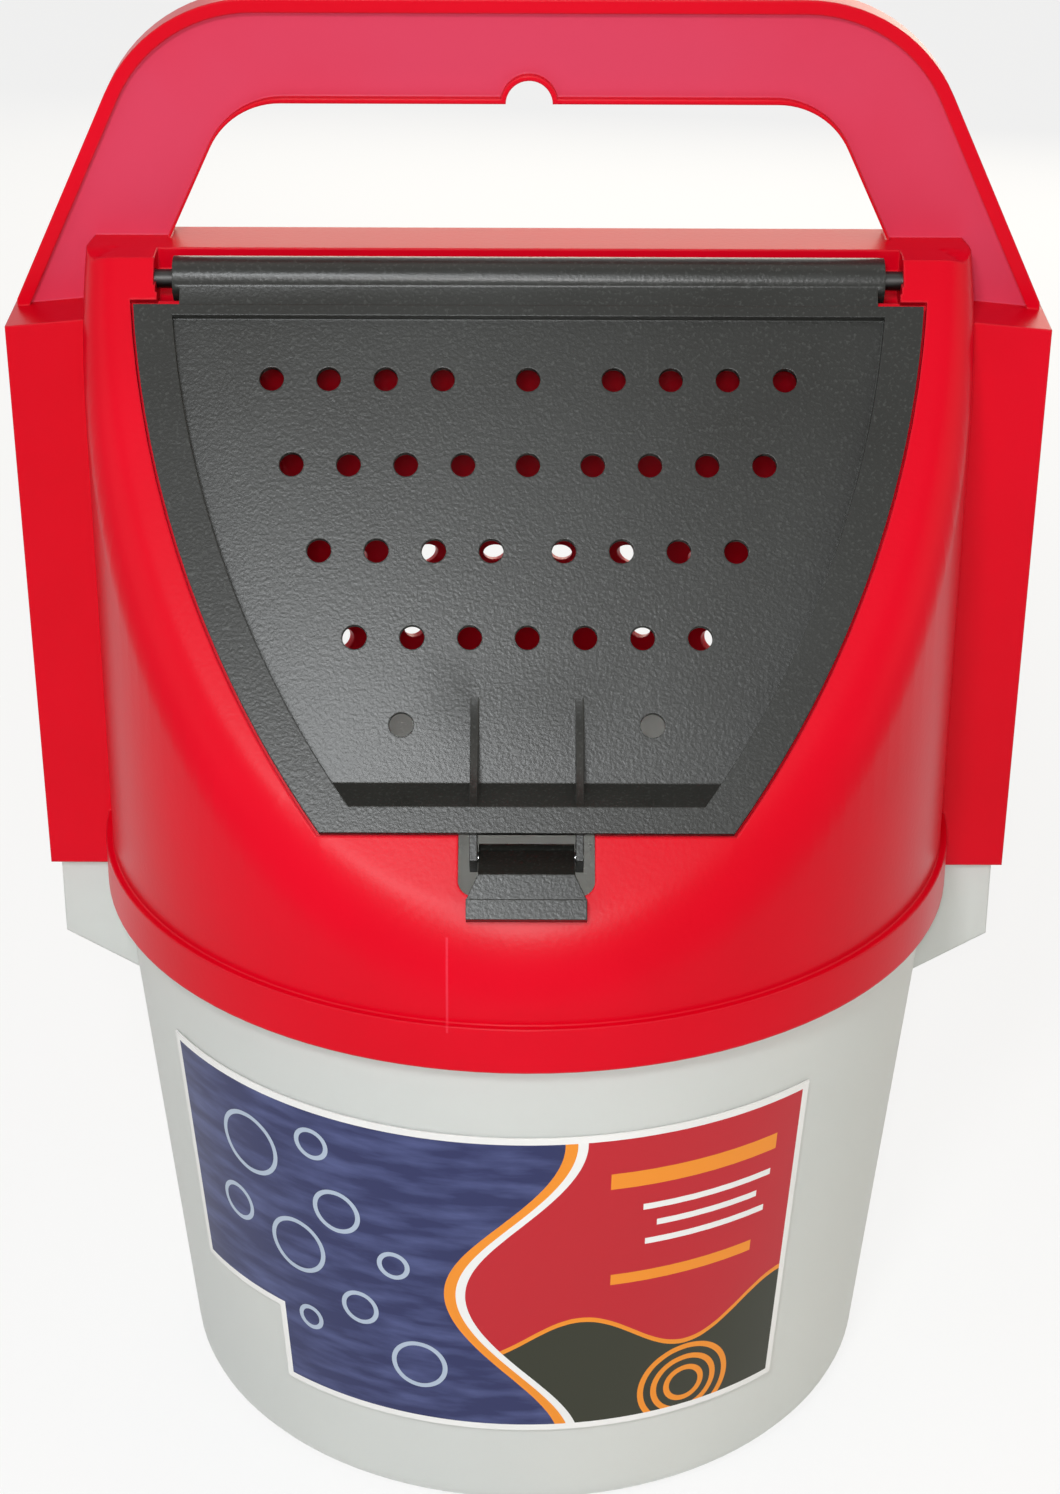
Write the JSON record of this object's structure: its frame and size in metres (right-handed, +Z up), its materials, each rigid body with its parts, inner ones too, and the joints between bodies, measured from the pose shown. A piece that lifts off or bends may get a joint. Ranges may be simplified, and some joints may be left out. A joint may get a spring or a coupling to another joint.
{
  "type": "aerated bait bucket",
  "caption": "Portable bait bucket: round pail under a slanted hood with side float wings, a loop handle and a perforated hinged door held by a thumb latch.",
  "frame": {"origin": "centre of the pail's base, on the ground", "axes": "+X to the right seen from the front, +Y to the back, +Z up; the door faces -Y"},
  "size_m": [0.28, 0.241, 0.4],
  "materials": {
    "clear_white": "translucent satin",
    "red": "semi gloss",
    "black": "fine texture",
    "steel": "bright",
    "foam": "foam",
    "print": "printed film"
  },
  "bodies": {
    "bucket": {"pail": "clear_white", "hood": "red", "foam_float_left": "foam", "foam_float_right": "foam", "label": "print"},
    "door": {"door": "black", "hinge_pin_left": "steel", "hinge_pin_right": "steel", "latch_pin": "steel"},
    "latch": {"latch_lever": "black"}
  },
  "joints": [
    {"name": "door_hinge", "type": "hinge", "parent": "bucket", "child": "door", "pos_m": [0, 0, 0.33], "axis": [-1, 0, 0], "range_deg": [0, 145]},
    {"name": "latch_hinge", "type": "hinge", "parent": "door", "child": "latch", "pos_m": [0, -0.0907, 0.20473], "axis": [-1, 0, 0], "range_deg": [0, 25]}
  ]
}
